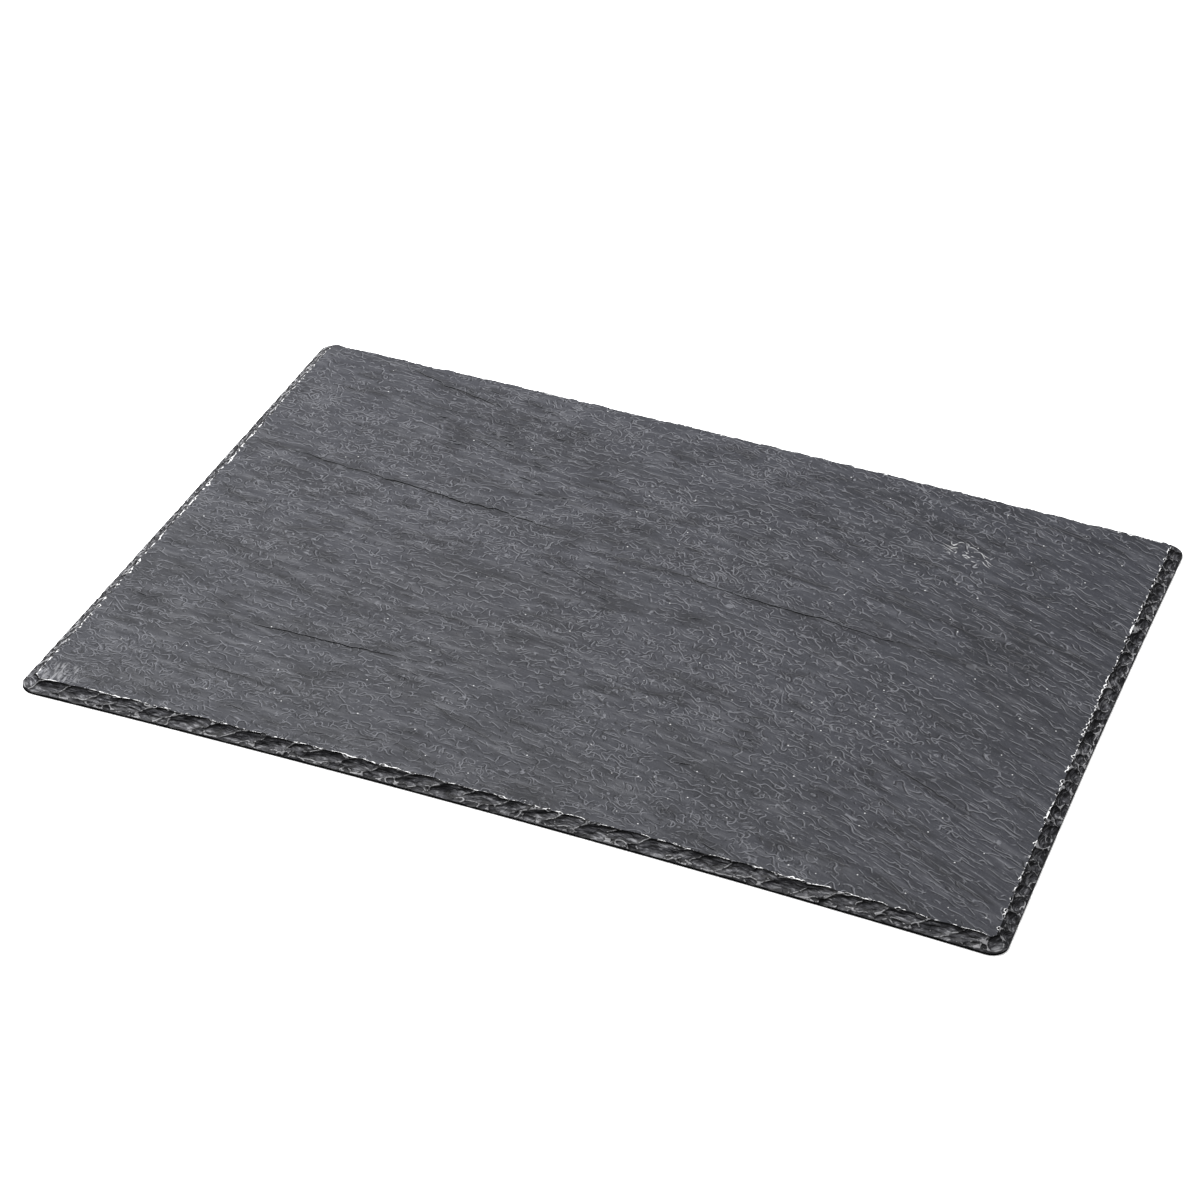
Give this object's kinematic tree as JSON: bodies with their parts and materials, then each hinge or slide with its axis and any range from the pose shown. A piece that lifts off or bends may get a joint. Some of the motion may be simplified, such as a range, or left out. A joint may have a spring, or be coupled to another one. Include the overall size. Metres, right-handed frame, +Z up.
{
  "type": "slate slab",
  "caption": "Thin rectangular slab of riven dark grey slate with a chipped, dressed edge and a flat underside, used as a serving board or table mat.",
  "frame": {"origin": "middle of the slab's footprint, on its flat underside", "axes": "+X along the long side, +Y from the front edge to the back edge, +Z up out of the riven face"},
  "size_m": [0.4, 0.3, 0.005],
  "materials": {
    "slate": "riven slate: matt, fine curling grain, low ledges, pale crushed rim above darker flake scars"
  },
  "bodies": {
    "root": {"slate_slab": "slate"}
  },
  "joints": []
}
